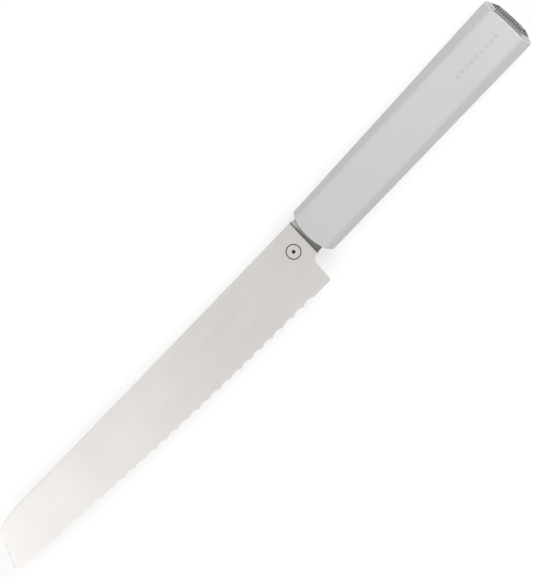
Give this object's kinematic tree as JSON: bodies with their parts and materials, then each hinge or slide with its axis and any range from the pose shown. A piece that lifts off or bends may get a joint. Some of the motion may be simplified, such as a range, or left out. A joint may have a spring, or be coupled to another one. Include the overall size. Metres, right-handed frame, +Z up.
{
  "type": "bread knife",
  "caption": "Bread knife with a scalloped blade ground on one side, a dark steel neck, a tapered light grey sleeve handle and a polished end cap.",
  "frame": {"origin": "bottom centre of the knife's box, on the surface that the handle's right flat lies on", "axes": "+X from the tip to the butt along the handle, +Y from the cutting edge to the spine, +Z up, out of the blade's left face"},
  "size_m": [0.3353, 0.0344, 0.02],
  "materials": {
    "blade_steel": "satin, ground along the blade",
    "collar_steel": "dark satin",
    "sleeve_coat": "matte light grey coat",
    "core_plastic": "moulded",
    "plain_steel": "turned",
    "seal_rubber": "matte",
    "cap_steel": "polished",
    "inlay_steel": "dark, knurled"
  },
  "bodies": {
    "root": {"blade": "blade_steel", "neck_collar": "collar_steel", "collar_seal": "seal_rubber", "handle_sleeve": "sleeve_coat", "core_left": "core_plastic", "core_right": "core_plastic", "tang_pins": "plain_steel", "draw_rod": "plain_steel", "cap_seal": "seal_rubber", "end_cap": "cap_steel", "cap_screw": "plain_steel", "cap_inlay": "inlay_steel"}
  },
  "joints": []
}
